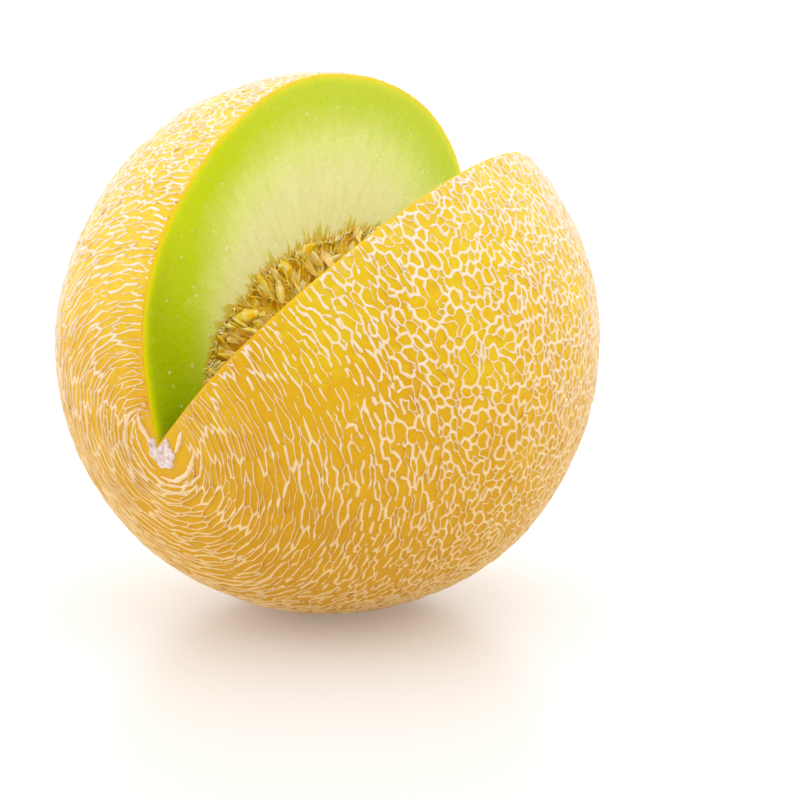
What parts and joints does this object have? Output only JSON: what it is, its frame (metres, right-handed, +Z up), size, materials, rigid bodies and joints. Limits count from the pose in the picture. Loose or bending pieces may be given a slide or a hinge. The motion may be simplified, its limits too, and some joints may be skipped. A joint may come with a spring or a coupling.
{
  "type": "cut netted melon",
  "caption": "Round netted melon with one wedge cut out, showing green flesh and seeds, lying on a small flat spot.",
  "frame": {"origin": "centre of the small flat spot that the fruit rests on", "axes": "+Z up out of the flat spot; the stem end faces -Y and dips 15.8 degrees below the horizontal; the cut-out wedge lies on the +X side of the upright cut face"},
  "size_m": [0.1554, 0.1508, 0.1535],
  "materials": {
    "fruit": "yellow-orange rind under raised pale corky netting, moist pale green flesh on the cuts",
    "seed_pulp": "wet golden-brown fibrous pulp",
    "seed": "smooth glossy beige seed coat"
  },
  "bodies": {
    "root": {"fruit": "fruit", "seed_pulp": "seed_pulp", "seed_01": "seed", "seed_02": "seed", "seed_03": "seed", "seed_04": "seed", "seed_05": "seed", "seed_06": "seed", "seed_07": "seed", "seed_08": "seed", "seed_09": "seed", "seed_10": "seed", "seed_11": "seed", "seed_12": "seed", "seed_13": "seed", "seed_14": "seed", "seed_15": "seed", "seed_16": "seed", "seed_17": "seed", "seed_18": "seed", "seed_19": "seed", "seed_20": "seed", "seed_21": "seed", "seed_22": "seed", "seed_23": "seed", "seed_24": "seed", "seed_25": "seed", "seed_26": "seed", "seed_27": "seed", "seed_28": "seed", "seed_29": "seed", "seed_30": "seed", "seed_31": "seed", "seed_32": "seed", "seed_33": "seed", "seed_34": "seed", "seed_35": "seed", "seed_36": "seed", "seed_37": "seed", "seed_38": "seed", "seed_39": "seed", "seed_40": "seed", "seed_41": "seed", "seed_42": "seed", "seed_43": "seed", "seed_44": "seed", "seed_45": "seed", "seed_46": "seed", "seed_47": "seed", "seed_48": "seed", "seed_49": "seed", "seed_50": "seed"}
  },
  "joints": []
}
